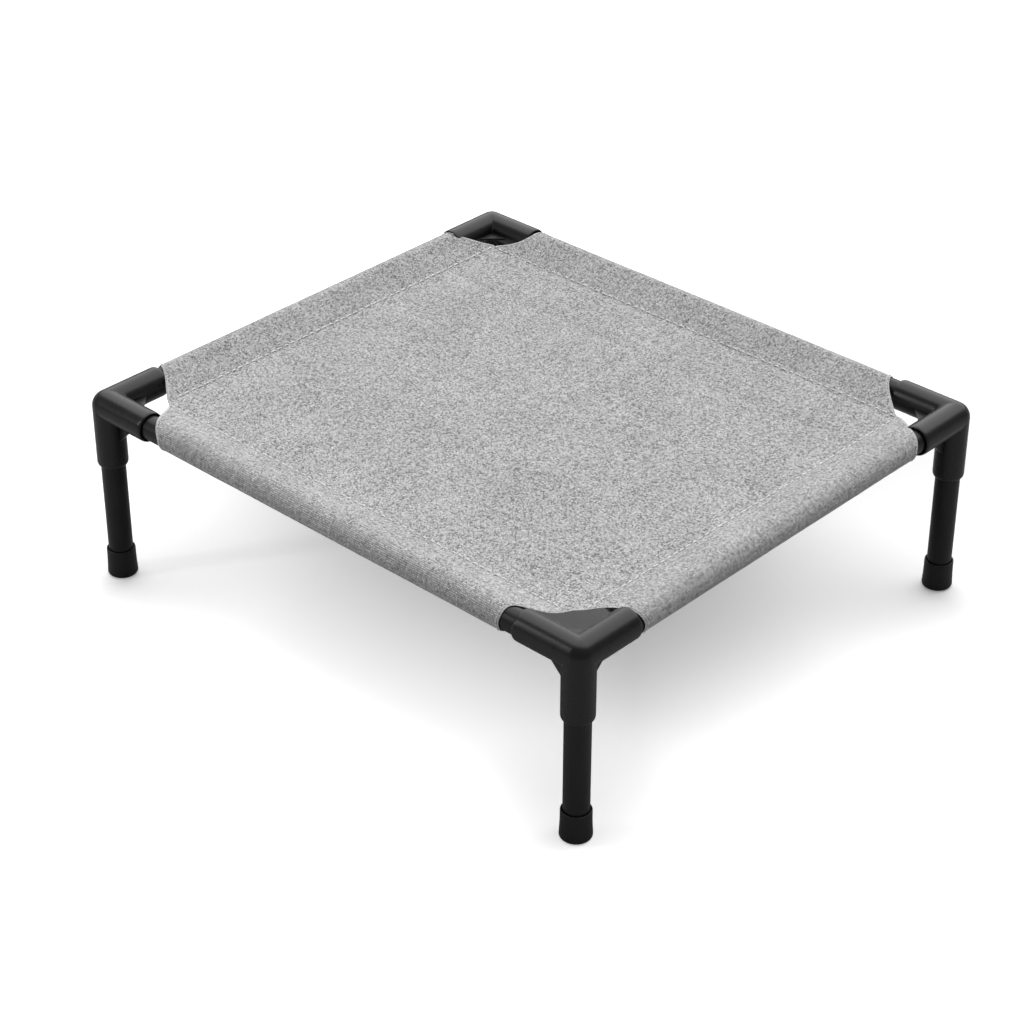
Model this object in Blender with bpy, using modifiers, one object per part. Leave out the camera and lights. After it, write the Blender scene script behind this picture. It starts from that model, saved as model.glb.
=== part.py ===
"""Elevated pet bed: a sewn cloth sling stretched over four rails of a push-together tube frame.

Metres, +Z up. The origin lies on the floor under the middle of the bed, and the front is towards -Y.
"""
import math

import bmesh
import bpy
from mathutils import Matrix

# Frame
RAIL_SPACING_X = 0.626       # between the axes of the left and the right rail
RAIL_SPACING_Y = 0.554       # between the axes of the front and the rear rail
RAIL_HEIGHT = 0.198          # rail axes above the floor
TUBE_DIAMETER = 0.025
TUBE_WALL = 0.0012
FIT = 0.0003                 # clearance between pieces that touch

# Three-way corner connector
SOCKET_WALL = 0.0029
SOCKET_REACH = 0.066         # corner point to the mouth of each arm
SEAT_WALL = 0.0062           # from a tube's seat to the bores of the other two arms
MOUTH_ROUND_LENGTH = 0.0045  # how far the rounding of the mouth runs along the arm
MOUTH_ROUND_DEPTH = 0.0018   # how deep it goes into the wall
LEAD_IN = 0.0007             # chamfer inside the mouth
WEB_REACH = 0.020            # along each arm, from the inner corner where two arms meet
WEB_THICKNESS = 0.003
CORNER_STEP = 0.0001         # by which the rounded corner stays inside the arms' surfaces

# Foot cap
CAP_HEIGHT = 0.031
CAP_FLOOR = 0.004
CAP_RIM_WALL = 0.0019
CAP_SPREAD = 0.0008          # how much wider the cap is at its foot than at its rim
CAP_RIM_ROUND = 0.0012
CAP_FOOT_ROUND = 0.0035

# Cloth sling
CLOTH = 0.001                # thickness of the cloth
SEAM_INSET = 0.040           # rail axis to the row of stitches that closes a sleeve
SEAM_PULL = 0.0002           # how far the stitches draw the cloth into the panel
HEM = 0.0035                 # cloth past the stitches, lying under the panel
PANEL_LAP = 0.0015           # panel past the stitches, inside the closed end of the sleeve
SLEEVE_SLACK = 0.004         # end of the sleeve's hollow, short of the stitches
SLEEVE_GAP = 0.007           # bare tube between a connector and the end of a sleeve
SCOOP_RADIUS = 0.117         # of the arc that cuts each corner of the cloth
CUT_PAST_HEM = 0.001         # least distance from the hems' edges to the arc, across the corner

SIDES = 32                   # round pieces
CUT_SIDES = 64               # corner cut of the cloth
ROUND_STEPS = 4              # quarter rounds of turned profiles
SLEEVE_STEPS = 16            # stretch of sleeve that lies on the tube
MERGE = 1e-5

TUBE_RADIUS = TUBE_DIAMETER / 2
BORE_RADIUS = TUBE_RADIUS + FIT
SOCKET_RADIUS = BORE_RADIUS + SOCKET_WALL
HALF_X = RAIL_SPACING_X / 2
HALF_Y = RAIL_SPACING_Y / 2
SOCKET_STOP = BORE_RADIUS + SEAT_WALL
TUBE_SEAT = SOCKET_STOP + FIT
SLEEVE_END = SOCKET_REACH + SLEEVE_GAP


def empty_scene():
    for old in list(bpy.data.objects):
        bpy.data.objects.remove(old, do_unlink=True)


def collection(name):
    made = bpy.data.collections.new(name)
    bpy.context.scene.collection.children.link(made)
    return made


def material(name, colour, roughness, metallic=0.0):
    made = bpy.data.materials.new(name)
    made.use_nodes = True
    shader = made.node_tree.nodes["Principled BSDF"]
    shader.inputs["Base Color"].default_value = (*colour, 1.0)
    shader.inputs["Roughness"].default_value = roughness
    shader.inputs["Metallic"].default_value = metallic
    return made


def add_object(name, data, group, place=Matrix()):
    made = bpy.data.objects.new(name, data)
    made.matrix_world = place
    group.objects.link(made)
    return made


def move_to(piece, name, group):
    """Names a new primitive and moves it into its collection."""
    piece.name = name
    for holder in list(piece.users_collection):
        holder.objects.unlink(piece)
    group.objects.link(piece)
    return piece


def as_tool(tool):
    """A tool takes part in a Boolean and is no piece of the bed."""
    tool.hide_render = True
    tool.display_type = "WIRE"
    return tool


def bake(source, name, group):
    """The evaluated mesh of an object, welded, as a new object in the same place."""
    bpy.context.view_layer.update()
    evaluated = source.evaluated_get(bpy.context.evaluated_depsgraph_get())
    mesh = bpy.data.meshes.new_from_object(evaluated)
    mesh.name = name
    work = bmesh.new()
    work.from_mesh(mesh)
    bmesh.ops.remove_doubles(work, verts=work.verts, dist=MERGE)
    work.to_mesh(mesh)
    work.free()
    place = source.matrix_world.copy()
    bpy.data.objects.remove(source, do_unlink=True)
    return add_object(name, mesh, group, place)


def turned(name, profile, group, place=Matrix()):
    """Turns a profile of (radius, height) points about the object's Z axis."""
    mesh = bpy.data.meshes.new(name)
    points = [(radius, 0.0, height) for radius, height in profile]
    mesh.from_pydata(points, [(i, i + 1) for i in range(len(points) - 1)], [])
    made = add_object(name, mesh, group, place)
    screw = made.modifiers.new("turn", "SCREW")
    screw.axis = "Z"
    screw.steps = screw.render_steps = SIDES
    screw.use_merge_vertices = True
    screw.merge_threshold = MERGE
    screw.use_smooth_shade = True
    return made


def flat(name, outlines, thickness, group, place=Matrix()):
    """A plate in the object's XY plane, from an outline and any holes in it."""
    curve = bpy.data.curves.new(name, "CURVE")
    curve.dimensions = "2D"
    curve.fill_mode = "BOTH"
    curve.extrude = thickness / 2
    for outline in outlines:
        spline = curve.splines.new("POLY")
        spline.points.add(len(outline) - 1)
        for point, (x, y) in zip(spline.points, outline):
            point.co = (x, y, 0.0, 1.0)
        spline.use_cyclic_u = True
    return bake(add_object(name + "_outline", curve, group, place), name, group)


def combine(target, tools, operation):
    """Joins or cuts with all the tools at once, which holds up better than one after another."""
    step = target.modifiers.new(operation.lower(), "BOOLEAN")
    step.operation = operation
    step.solver = "EXACT"
    step.operand_type = "COLLECTION"
    step.collection = collection(step.name + "_tools")
    for tool in tools:
        move_to(as_tool(tool), tool.name, step.collection)


def shade(piece, angle=35.0):
    piece.data.shade_smooth()
    piece.data.set_sharp_from_angle(angle=math.radians(angle))


def quarter_round(centre, size, start):
    """Points on a quarter of an ellipse, turning clockwise from the start angle in degrees."""
    points = []
    for i in range(ROUND_STEPS + 1):
        angle = math.radians(start - 90.0 * i / ROUND_STEPS)
        points.append((centre[0] + size[0] * math.cos(angle), centre[1] + size[1] * math.sin(angle)))
    return points


# Turns an object's +Z axis to each direction in which an arm leaves the corner
ARM_TURNS = {
    "x": Matrix.Rotation(math.radians(90), 4, "Y"),
    "y": Matrix.Rotation(math.radians(-90), 4, "X"),
    "down": Matrix.Rotation(math.radians(180), 4, "X"),
}


def arm_profile():
    """Outside of one arm, from its rounded mouth down to the corner point."""
    mouth = quarter_round(
        (SOCKET_RADIUS - MOUTH_ROUND_DEPTH, SOCKET_REACH - MOUTH_ROUND_LENGTH),
        (MOUTH_ROUND_DEPTH, MOUTH_ROUND_LENGTH), 90.0)
    return [(0.0, SOCKET_REACH)] + mouth + [(SOCKET_RADIUS, 0.0), (0.0, 0.0)]


def bore_profile():
    """Bore of one arm, with the lead-in chamfer at its mouth and the tube's seat at its end."""
    past_mouth = SOCKET_REACH + LEAD_IN
    return [
        (0.0, past_mouth),
        (BORE_RADIUS + 2 * LEAD_IN, past_mouth),
        (BORE_RADIUS, SOCKET_REACH - LEAD_IN),
        (BORE_RADIUS, SOCKET_STOP),
        (0.0, SOCKET_STOP),
    ]


def web_outline():
    """Triangle between two arms along +X and +Y, with its corners inside the arms."""
    root = SOCKET_RADIUS / 2
    tip = 2 * SOCKET_RADIUS + WEB_REACH - root
    return [(root, root), (tip, root), (root, tip)]


# Turns the XY plane to the plane of each pair of arms
WEB_TURNS = {
    "level": Matrix(),
    "front": Matrix.Rotation(math.radians(-90), 4, "X"),
    "side": Matrix.Rotation(math.radians(90), 4, "Y"),
}


def connector_mesh(tools):
    """Corner with arms along +X, +Y and down, and its corner point at the origin."""
    ball = bpy.data.meshes.new("corner_ball")
    work = bmesh.new()
    bmesh.ops.create_uvsphere(
        work, u_segments=SIDES, v_segments=SIDES // 2, radius=SOCKET_RADIUS - CORNER_STEP)
    work.to_mesh(ball)
    work.free()
    corner = add_object("corner", ball, tools)
    arms = [turned("arm_" + way, arm_profile(), tools, turn) for way, turn in ARM_TURNS.items()]
    webs = [flat("web_" + way, [web_outline()], WEB_THICKNESS, tools, turn) for way, turn in WEB_TURNS.items()]
    bores = [turned("bore_" + way, bore_profile(), tools, turn) for way, turn in ARM_TURNS.items()]
    combine(corner, arms + webs, "UNION")
    combine(corner, bores, "DIFFERENCE")
    joined = bake(corner, "connector", tools)
    mesh = joined.data
    bpy.data.objects.remove(joined, do_unlink=True)
    return mesh


def tube(name, length, centre, turn, look, group):
    bpy.ops.mesh.primitive_cylinder_add(
        vertices=SIDES, radius=TUBE_RADIUS, depth=length, end_fill_type="NOTHING")
    made = bpy.context.object
    move_to(made, name, group)
    made.matrix_world = Matrix.Translation(centre) @ turn
    made.data.materials.append(look)
    wall = made.modifiers.new("wall", "SOLIDIFY")
    wall.thickness = TUBE_WALL
    wall.offset = -1.0
    wall.use_even_offset = True
    shade(made)
    return made


def cap_profile():
    """Section of a foot cap, from the middle of its inside floor over the rim to its underside."""
    rim = BORE_RADIUS + CAP_RIM_WALL
    foot = rim + CAP_SPREAD
    over_rim = quarter_round(
        (rim - CAP_RIM_ROUND, CAP_HEIGHT - CAP_RIM_ROUND), (CAP_RIM_ROUND, CAP_RIM_ROUND), 90.0)
    round_foot = quarter_round(
        (foot - CAP_FOOT_ROUND, CAP_FOOT_ROUND), (CAP_FOOT_ROUND, CAP_FOOT_ROUND), 0.0)
    inside = [(0.0, CAP_FLOOR), (BORE_RADIUS, CAP_FLOOR), (BORE_RADIUS, CAP_HEIGHT)]
    return inside + over_rim + round_foot + [(0.0, 0.0)]


def sleeve_section():
    """Outline and hole of a sleeve, as (inward, up) from the rail's axis.

    The cloth lies on the outer side of the tube and runs straight from there to the stitches,
    above and below. Under the panel it goes on as the hem.
    """
    half = CLOTH / 2
    seam_top = half - SEAM_PULL
    seam_bottom = -half - CLOTH

    def wrap(radius, inward, top, bottom):
        start = math.atan2(top, inward) + math.acos(radius / math.hypot(inward, top))
        end = math.tau + math.atan2(bottom, inward) - math.acos(radius / math.hypot(inward, bottom))
        angles = [start + (end - start) * i / SLEEVE_STEPS for i in range(SLEEVE_STEPS + 1)]
        return [(radius * math.cos(angle), radius * math.sin(angle)) for angle in angles]

    outer = [(SEAM_INSET + HEM, seam_top), (SEAM_INSET, seam_top)]
    outer += wrap(BORE_RADIUS + CLOTH, SEAM_INSET, seam_top, seam_bottom)
    outer += [(SEAM_INSET, seam_bottom), (SEAM_INSET + HEM, seam_bottom)]
    hole_end = SEAM_INSET - SLEEVE_SLACK
    hole = [(hole_end, -half)] + wrap(BORE_RADIUS, hole_end, -half, -half)
    return [outer, hole]


def sling(tools, group, look):
    """Panel, a sleeve along each side, and the scooped corners that leave the connectors bare."""
    half_x = HALF_X - SEAM_INSET
    half_y = HALF_Y - SEAM_INSET
    edge_x, edge_y = half_x + PANEL_LAP, half_y + PANEL_LAP
    level = Matrix.Translation((0.0, 0.0, RAIL_HEIGHT))
    corners = [(-edge_x, -edge_y), (edge_x, -edge_y), (edge_x, edge_y), (-edge_x, edge_y)]
    panel = flat("panel", [corners], CLOTH, tools, level)

    stand_up = Matrix.Rotation(math.radians(90), 4, "X")
    sleeves = []
    for side, (distance, half_length) in enumerate([(HALF_Y, half_x), (HALF_X, half_y)] * 2):
        turn = Matrix.Rotation(math.radians(90) * (side + 1), 4, "Z")
        place = level @ turn @ Matrix.Translation((-distance, 0.0, 0.0)) @ stand_up
        sleeves.append(flat("sleeve_%d" % side, sleeve_section(), 2 * half_length, tools, place))

    # A scoop is an arc about a point outside the corner. It goes through both sleeve ends, or
    # deeper where the hems would meet otherwise.
    through_ends = (math.sqrt(2 * SCOOP_RADIUS ** 2 - SLEEVE_END ** 2) - SLEEVE_END) / 2
    past_hems = SCOOP_RADIUS / math.sqrt(2) - SEAM_INSET - HEM - CUT_PAST_HEM
    outside = min(through_ends, past_hems)
    past_sleeves = 4 * SOCKET_RADIUS
    scoops = []
    for x_sign in (-1, 1):
        for y_sign in (-1, 1):
            centre = (x_sign * (HALF_X + outside), y_sign * (HALF_Y + outside), RAIL_HEIGHT)
            bpy.ops.mesh.primitive_cylinder_add(
                vertices=CUT_SIDES, radius=SCOOP_RADIUS, depth=past_sleeves, location=centre)
            scoops.append(move_to(bpy.context.object, "scoop_%d" % len(scoops), tools))
    combine(panel, sleeves, "UNION")
    combine(panel, scoops, "DIFFERENCE")
    made = bake(panel, "fabric_sling", group)
    made.data.materials.clear()
    made.data.materials.append(look)
    shade(made, 50.0)
    return made


def build():
    empty_scene()
    bed = collection("elevated_pet_bed")
    tools = collection("tools")
    plastic = material("black_moulded_plastic", (0.030, 0.030, 0.032), 0.45)
    steel = material("black_coated_steel", (0.025, 0.025, 0.027), 0.38)
    rubber = material("black_cap_plastic", (0.022, 0.022, 0.023), 0.55)
    cloth = material("grey_woven_cloth", (0.42, 0.42, 0.43), 0.92)

    connector = connector_mesh(tools)
    connector.materials.clear()
    connector.materials.append(plastic)
    leg_foot = CAP_FLOOR + FIT
    leg_top = RAIL_HEIGHT - TUBE_SEAT
    corners = {
        "front_left": (-1, -1, 0), "front_right": (1, -1, 90),
        "rear_right": (1, 1, 180), "rear_left": (-1, 1, 270),
    }
    for name, (x_sign, y_sign, turn) in corners.items():
        x, y = x_sign * HALF_X, y_sign * HALF_Y
        place = Matrix.Translation((x, y, RAIL_HEIGHT)) @ Matrix.Rotation(math.radians(turn), 4, "Z")
        shade(add_object(name + "_connector", connector, bed, place))
        tube(name + "_leg", leg_top - leg_foot, (x, y, (leg_top + leg_foot) / 2), Matrix(), steel, bed)
        foot = turned(name + "_foot_cap", cap_profile(), bed, Matrix.Translation((x, y, 0.0)))
        foot.data.materials.append(rubber)

    along_x = RAIL_SPACING_X - 2 * TUBE_SEAT
    along_y = RAIL_SPACING_Y - 2 * TUBE_SEAT
    for name, y in (("front_rail", -HALF_Y), ("rear_rail", HALF_Y)):
        tube(name, along_x, (0.0, y, RAIL_HEIGHT), ARM_TURNS["x"], steel, bed)
    for name, x in (("left_rail", -HALF_X), ("right_rail", HALF_X)):
        tube(name, along_y, (x, 0.0, RAIL_HEIGHT), ARM_TURNS["y"], steel, bed)

    sling(tools, bed, cloth)


build()
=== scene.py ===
"""Elevated pet bed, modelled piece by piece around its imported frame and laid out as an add-on.

Metres, +Z up. The origin lies on the floor under the middle of the bed, and the front is towards -Y.
"""
import math
from collections import Counter

import bmesh
import bpy
import numpy as np
from mathutils import Matrix, Vector, noise
from mathutils.bvhtree import BVHTree


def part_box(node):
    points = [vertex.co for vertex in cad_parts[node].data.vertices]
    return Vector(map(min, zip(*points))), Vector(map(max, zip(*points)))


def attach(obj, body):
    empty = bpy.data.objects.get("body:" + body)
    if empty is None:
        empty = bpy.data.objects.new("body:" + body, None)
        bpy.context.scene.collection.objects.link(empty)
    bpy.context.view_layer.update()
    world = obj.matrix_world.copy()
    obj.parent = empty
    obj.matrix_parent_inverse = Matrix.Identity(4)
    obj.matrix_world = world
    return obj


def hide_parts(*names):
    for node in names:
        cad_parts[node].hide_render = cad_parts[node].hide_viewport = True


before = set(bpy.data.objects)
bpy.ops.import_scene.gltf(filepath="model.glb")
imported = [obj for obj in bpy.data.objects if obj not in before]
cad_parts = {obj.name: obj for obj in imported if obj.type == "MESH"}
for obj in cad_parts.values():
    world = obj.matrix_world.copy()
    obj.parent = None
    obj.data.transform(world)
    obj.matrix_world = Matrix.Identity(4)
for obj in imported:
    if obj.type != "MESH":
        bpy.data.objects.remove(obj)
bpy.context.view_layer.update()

bl_info = {
    "name": "Elevated Pet Bed",
    "version": (1, 0, 0),
    "blender": (4, 5, 0),
    "location": "3D View > Sidebar > Pet Bed",
    "description": "Cloth sling, tube frame, corner connectors and foot caps of an elevated pet bed",
    "category": "Add Mesh",
}

MM = 0.001


def middle(node, axis):
    low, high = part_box(node)
    return (low[axis] + high[axis]) / 2


def radius_of(node, axis):
    low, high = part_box(node)
    return (high[axis] - low[axis]) / 2


# Sizes that the frame gives
HALF_X = middle("right_rail", 0)
HALF_Y = middle("rear_rail", 1)
RAIL_Z = middle("front_rail", 2)
TUBE_RADIUS = radius_of("front_rail", 2)
TUBE_SEAT = HALF_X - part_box("front_rail")[1][0]
SOCKET_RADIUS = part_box("front_right_connector")[1][0] - HALF_X
SOCKET_REACH = HALF_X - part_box("front_right_connector")[0][0]
LEG_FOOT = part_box("front_left_leg")[0][2]
LEG_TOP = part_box("front_left_leg")[1][2]
CAP_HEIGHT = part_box("front_left_foot_cap")[1][2]
CAP_RADIUS = radius_of("front_left_foot_cap", 0)
FIT = 0.3 * MM               # clearance between pieces that touch

CORNERS = ("front_left", "front_right", "rear_right", "rear_left")
CORNER_SIGNS = {"front_left": (-1, -1), "front_right": (1, -1), "rear_right": (1, 1), "rear_left": (-1, 1)}
SIDES = ("front", "right", "rear", "left")


# Settings

def length(name, default, description):
    return bpy.props.FloatProperty(
        name=name, description=description, default=default, min=0.0, precision=5,
        subtype="DISTANCE", unit="LENGTH")


def share(name, default, description, most=1.0):
    return bpy.props.FloatProperty(
        name=name, description=description, default=default, min=0.0, max=most, precision=3)


def colour(name, default, description):
    return bpy.props.FloatVectorProperty(
        name=name, description=description, default=default, size=3, min=0.0, max=1.0, subtype="COLOR")


def bearing(name, degrees, description):
    return bpy.props.FloatProperty(
        name=name, description=description, default=math.radians(degrees), subtype="ANGLE",
        unit="ROTATION")


def placed(name, default, description):
    return bpy.props.FloatVectorProperty(
        name=name, description=description, default=default, size=len(default), subtype="XYZ",
        unit="LENGTH")


class FrameSettings(bpy.types.PropertyGroup):
    crease: length("Crease round", 1.8 * MM, "Size of the rounding where two arms of a connector meet")
    mouth_round: length("Mouth round", 1.2 * MM, "How far the outer rounding of a mouth goes into the wall")
    mouth_taper: length("Mouth taper", 3.8 * MM, "How far the outer rounding of a mouth runs along the arm")
    recess_depth: length("Recess depth", 3.0 * MM, "Depth of the lead-in around the tube at each mouth")
    web_reach: length("Web reach", 20 * MM, "Length of a web along each arm, from the inner corner")
    web_thickness: length("Web thickness", 3 * MM, "Thickness of the webs between the arms")
    tube_wall: length("Tube wall", 1.2 * MM, "Wall of the steel tubes")
    plastic_colour: colour("Plastic colour", (0.008, 0.008, 0.0085), "Moulded connectors")
    plastic_roughness: share("Plastic roughness", 0.29, "Mean roughness of the connectors")
    plastic_specular: share("Plastic specular", 0.45, "Strength of the connectors' reflections")
    steel_colour: colour("Coat colour", (0.007, 0.007, 0.0075), "Powder coat on the tubes")
    steel_roughness: share("Coat roughness", 0.34, "Mean roughness of the powder coat")
    steel_specular: share("Coat specular", 0.35, "Strength of the powder coat's reflections")
    cap_colour: colour("Cap colour", (0.008, 0.008, 0.0085), "Foot caps")
    cap_roughness: share("Cap roughness", 0.45, "Mean roughness of the foot caps")
    cap_specular: share("Cap specular", 0.4, "Strength of the foot caps' reflections")


class ClothSettings(bpy.types.PropertyGroup):
    thickness: length("Thickness", 0.9 * MM, "Thickness of one layer of cloth")
    seam_inset: length("Seam inset", 40 * MM, "From a rail's axis to the stitches that close its sleeve")
    ease: length("Sleeve ease", 0.5 * MM, "Air between a sleeve and its tube")
    hem: length("Hem", 3.5 * MM, "Cloth past the stitches, under the panel")
    sag: length("Sag", 1.5 * MM, "How far the middle of the panel hangs down")
    cell: length("Cell", 8 * MM, "Size of the mesh cells before they are subdivided")
    pitch: length("Yarn pitch", 1.85 * MM, "Distance between the yarns of the weave")
    light_yarn: colour("Light yarn", (0.90, 0.90, 0.90), "Lightest yarn of the heather grey")
    dark_yarn: colour("Dark yarn", (0.045, 0.045, 0.046), "Darkest yarn of the heather grey")
    contrast: share("Contrast", 1.2, "How far the yarns' tones lie apart on the panel", 2.0)
    drawn_contrast: share("Drawn contrast", 0.8, "The same, where the cloth is drawn round a rail", 2.0)
    # Painted shade: how much the yarn gap shade darkens the rolled sides round the rails
    drawn_shade_strength: share("Opening", 0.72, "How far the weave opens where the cloth is drawn round a rail")
    # Loose fibres, and a painted highlight along the cut edges
    edge_fibres_and_highlight: colour("Worn edge", (0.72, 0.72, 0.72), "Loose fibres along the cut edges")
    stitch_length: length("Stitch length", 5.6 * MM, "Length of thread that shows on top for each stitch")
    stitch_gap: length("Stitch gap", 3.4 * MM, "Cloth between two stitches")
    thread: length("Thread", 1.5 * MM, "Thickness of the sewing thread")
    thread_colour: colour("Thread colour", (1.0, 1.0, 1.0), "Sewing thread")
    hem_colour: colour("Hem thread colour", (0.95, 0.95, 0.95), "Thread round the sleeves' ends")


class StageSettings(bpy.types.PropertyGroup):
    floor_colour: colour("Floor colour", (0.97, 0.97, 0.97), "Plain floor, as the camera sees it")
    floor_bounce: share("Floor bounce", 0.42, "Share of light that the floor sends back to the bed")
    # Painted light and shade on the floor, seen by the camera only: a glow that fades into a painted shadow
    # under the bed
    painted_floor_glow: share("Floor lift", 1.59, "Paleness that the camera sees far from the shadow's core", 2.0)
    core_place: placed(
        "Core place", (0.100, -0.235), "The shadow's core, to the right and towards the camera")
    core_shape: bpy.props.FloatVectorProperty(
        name="Core shape", description="How fast the core fades to the right and towards the camera",
        default=(0.44, 0.755), size=2)
    core_inner: length("Core inner", 59 * MM, "How far from its middle the core starts to fade")
    core_outer: length("Core outer", 887 * MM, "How far from its middle the core has faded away")
    # Painted shadow beside each foot
    painted_foot_shadow: share("Foot shade", 0.5, "How much darker the shadow is beside a foot")
    foot_reach: length("Foot reach", 175 * MM, "How far a foot's own shadow spreads")
    # Painted dark spot on the floor under the middle of the bed
    gap_place: placed("Gap place", (0.082, -0.018), "Floor that shows through the near corner's gap")
    gap_reach: length("Gap reach", 44 * MM, "Size of the floor that shows there")
    gap_edge: length("Gap edge", 19.8 * MM, "How softly the dark floor there ends")
    painted_gap_shade: share("Gap tone", 0.52, "How dark the floor is there")
    sky: share("Sky", 0.224, "Strength of the even light from all round", 4.0)
    backdrop: share("Backdrop", 0.24, "Strength of the pale backdrop behind the bed", 4.0)
    overhead: share("Overhead light", 2.5, "Strength of the wide soft light above", 10.0)
    overhead_azimuth: bearing("Overhead azimuth", 208, "Side that it leans to, from the front")
    overhead_tilt: bearing("Overhead tilt", 36, "How far it leans from the vertical")
    overhead_spread: bearing("Overhead spread", 92, "Angle that it takes up")
    strip: share("Strip light", 5.0, "Power of the strip light at the camera's left, in watts", 100.0)
    strip_place: placed("Strip place", (-1.45, -1.367, 0.932), "From the near corner's top")
    strip_width: length("Strip width", 140 * MM, "Narrow side of the strip light")
    strip_height: length("Strip height", 1100 * MM, "Long side of the strip light")
    focal_length: bpy.props.FloatProperty(
        name="Focal length", description="Of the camera, in millimetres on a 36 mm sensor", default=92.386)
    camera_azimuth: bearing("Camera azimuth", 42.9553, "Round from the front towards the right")
    camera_elevation: bearing("Camera elevation", 32.1885, "Angle that the camera looks down")
    camera_roll: bearing("Camera roll", 0.0886, "Turn about the line of sight")
    camera_place: placed("Camera place", (1.52094, -1.65873, 1.49609), "Where the camera stands")


# Shader nodes

class Socket:
    """An output of a node that stands in an expression; each operation adds a Math node."""

    def __init__(self, shader, output):
        self.shader = shader
        self.output = output

    def maths(self, operation, *values):
        return self.shader.add("ShaderNodeMath", {"operation": operation}, dict(enumerate(values)))

    def __add__(self, other):
        return self.maths("ADD", self, other)

    def __radd__(self, other):
        return self.maths("ADD", other, self)

    def __sub__(self, other):
        return self.maths("SUBTRACT", self, other)

    def __rsub__(self, other):
        return self.maths("SUBTRACT", other, self)

    def __mul__(self, other):
        return self.maths("MULTIPLY", self, other)

    def __rmul__(self, other):
        return self.maths("MULTIPLY", other, self)

    def __truediv__(self, other):
        return self.maths("DIVIDE", self, other)

    def __pow__(self, other):
        return self.maths("POWER", self, other)

    def __abs__(self):
        return self.maths("ABSOLUTE", self)

    def floor(self):
        return self.maths("FLOOR", self)

    def fraction(self):
        return self.maths("FRACT", self)

    def remainder(self, other):
        return self.maths("FLOORED_MODULO", self, other)

    def at_least(self, other):
        return self.maths("MAXIMUM", self, other)

    def at_most(self, other):
        return self.maths("MINIMUM", self, other)

    def mixed(self, low, high):
        """Goes from low to high as this socket goes from 0 to 1."""
        return low + self * (high - low)

    def ramp(self, start, end, low=0.0, high=1.0):
        """Goes from low to high, smoothly, as this socket goes from start to end."""
        return self.shader.add(
            "ShaderNodeMapRange", {"interpolation_type": "SMOOTHSTEP"},
            {"Value": self, "From Min": start, "From Max": end, "To Min": low, "To Max": high})


class Shader:
    """A material or a world whose nodes are added one at a time."""

    def __init__(self, name, world=False):
        self.owner = (bpy.data.worlds if world else bpy.data.materials).new(name)
        self.owner.use_nodes = True
        self.tree = self.owner.node_tree
        self.tree.nodes.clear()

    def add(self, kind, settings=None, values=None, output=0):
        """Adds a node, first with its settings, then with the values or links of its sockets."""
        node = self.tree.nodes.new(kind)
        for name, value in (settings or {}).items():
            setattr(node, name, value)
        for name, value in (values or {}).items():
            entry = node.inputs[name]
            if isinstance(value, Socket):
                self.tree.links.new(value.output, entry)
            elif entry.type == "RGBA":
                entry.default_value = (*value[:3], 1.0)
            else:
                entry.default_value = value
        return Socket(self, node.outputs[output]) if node.outputs else None

    def coordinates(self, output="Object"):
        return self.add("ShaderNodeTexCoord", output=output)

    def path(self, name):
        """1 for rays of one kind, such as the camera's, and 0 for others."""
        return self.add("ShaderNodeLightPath", output=name)

    def random(self, place):
        """A number from 0 to 1 that has nothing to do with its neighbours'."""
        return self.add(
            "ShaderNodeTexWhiteNoise", {"noise_dimensions": "2D"}, {"Vector": place}, output="Value")

    def noise(self, place, scale, detail=2.0, roughness=0.5, dimensions="3D"):
        return self.add(
            "ShaderNodeTexNoise", {"noise_dimensions": dimensions},
            {"Vector": place, "Scale": scale, "Detail": detail, "Roughness": roughness})

    def point(self, x, y, z=0.0):
        return self.add("ShaderNodeCombineXYZ", values={0: x, 1: y, 2: z})

    def parts(self, vector):
        """The x, y and z of a vector."""
        node = self.add("ShaderNodeSeparateXYZ", values={0: vector}).output.node
        return [Socket(self, node.outputs[i]) for i in range(3)]

    def mix(self, factor, first, second, blend="MIX"):
        return self.add(
            "ShaderNodeMix", {"data_type": "RGBA", "blend_type": blend},
            {0: factor, 6: first, 7: second}, output=2)

    def bump(self, height, distance, strength=1.0):
        return self.add(
            "ShaderNodeBump", values={"Height": height, "Distance": distance, "Strength": strength})

    def surface(self, **values):
        """Closes the material with a Principled shader, whose sockets are named by the values."""
        named = {name.replace("_", " ").title(): value for name, value in values.items()}
        named["Specular IOR Level"] = named.pop("Specular Level")
        return self.close(self.add("ShaderNodeBsdfPrincipled", values=named))

    def close(self, finish, kind="ShaderNodeOutputMaterial"):
        self.add(kind, values={"Surface": finish})
        return self.owner


def moulded_plastic(name, tint, roughness, specular):
    """Satin black moulding: a fine eroded grain, cloudy gloss and slightly paler edges, which are partly
    wear and partly a painted highlight.
    """
    shader = Shader(name)
    place = shader.coordinates()
    clouds = shader.noise(place, 55.0, 3.0, 0.55)
    grain = shader.noise(place, 1500.0, 2.0, 0.6)
    scuffs = shader.noise(place, 320.0, 4.0, 0.65)
    # Paler edges: partly wear, partly a painted highlight
    edge = shader.add("ShaderNodeNewGeometry", output="Pointiness").ramp(0.53, 0.62)
    paler = [min(1.0, part * 2.2 + 0.006) for part in tint]
    darker = [part * 0.72 for part in tint]
    body = shader.mix(clouds.ramp(0.3, 0.7), darker, tint)
    wear_and_edge_highlight = shader.mix(edge * scuffs.ramp(0.35, 0.65), body, paler)
    return shader.surface(
        base_color=wear_and_edge_highlight,
        roughness=roughness + (clouds - 0.5) * 0.12 + (grain - 0.5) * 0.10,
        specular_level=specular,
        normal=shader.bump(grain + scuffs * 0.4, 0.05 * MM, 0.55))


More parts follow.
